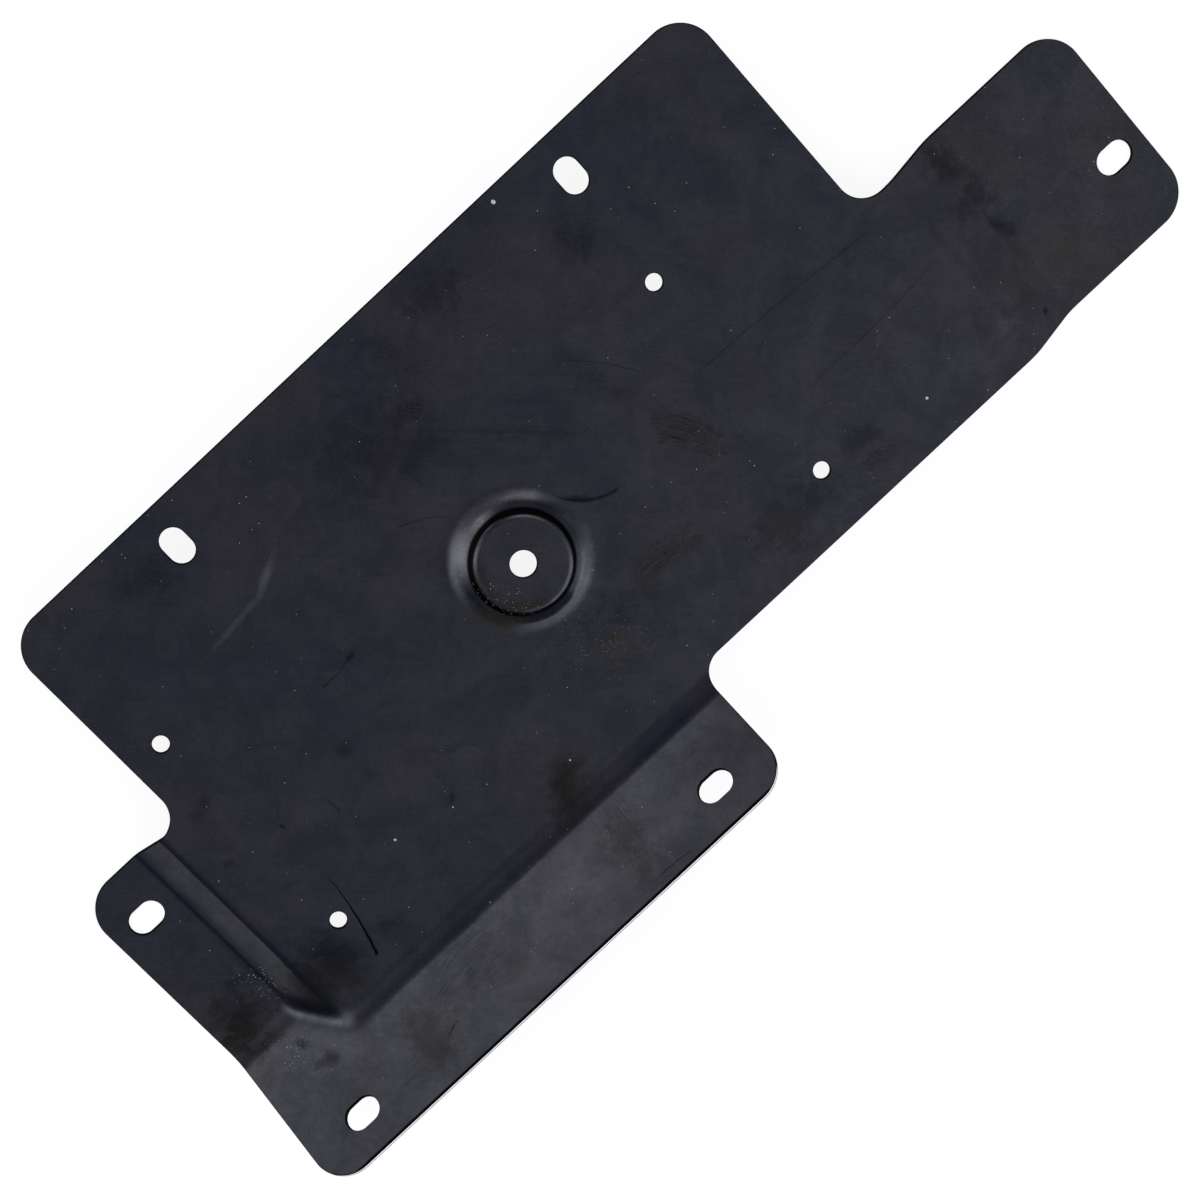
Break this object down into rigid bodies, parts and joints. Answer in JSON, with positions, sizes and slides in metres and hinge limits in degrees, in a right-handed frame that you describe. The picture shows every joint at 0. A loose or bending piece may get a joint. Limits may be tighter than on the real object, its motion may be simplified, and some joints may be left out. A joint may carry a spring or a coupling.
{
  "type": "amplifier mounting bracket",
  "caption": "Flat folded-sheet bracket with a stepped foot at each end, a sloping flange, a raised boss with a bolt hole, and slots and round holes for fixing an amplifier.",
  "frame": {"origin": "centre of the boss's bolt hole, in the plane of the boss's seat face", "axes": "+X along the plate, from the end with the strip to the end with the long tab; +Y across the plate, from the edge with the sloping flange to the straight edge with the two slots; +Z square to the plate, on the side where the boss stands"},
  "size_m": [0.336, 0.1579, 0.0321],
  "materials": {
    "bracket_sheet": "satin black coat on steel sheet, used"
  },
  "bodies": {
    "root": {"bracket_sheet": "bracket_sheet"}
  },
  "joints": []
}
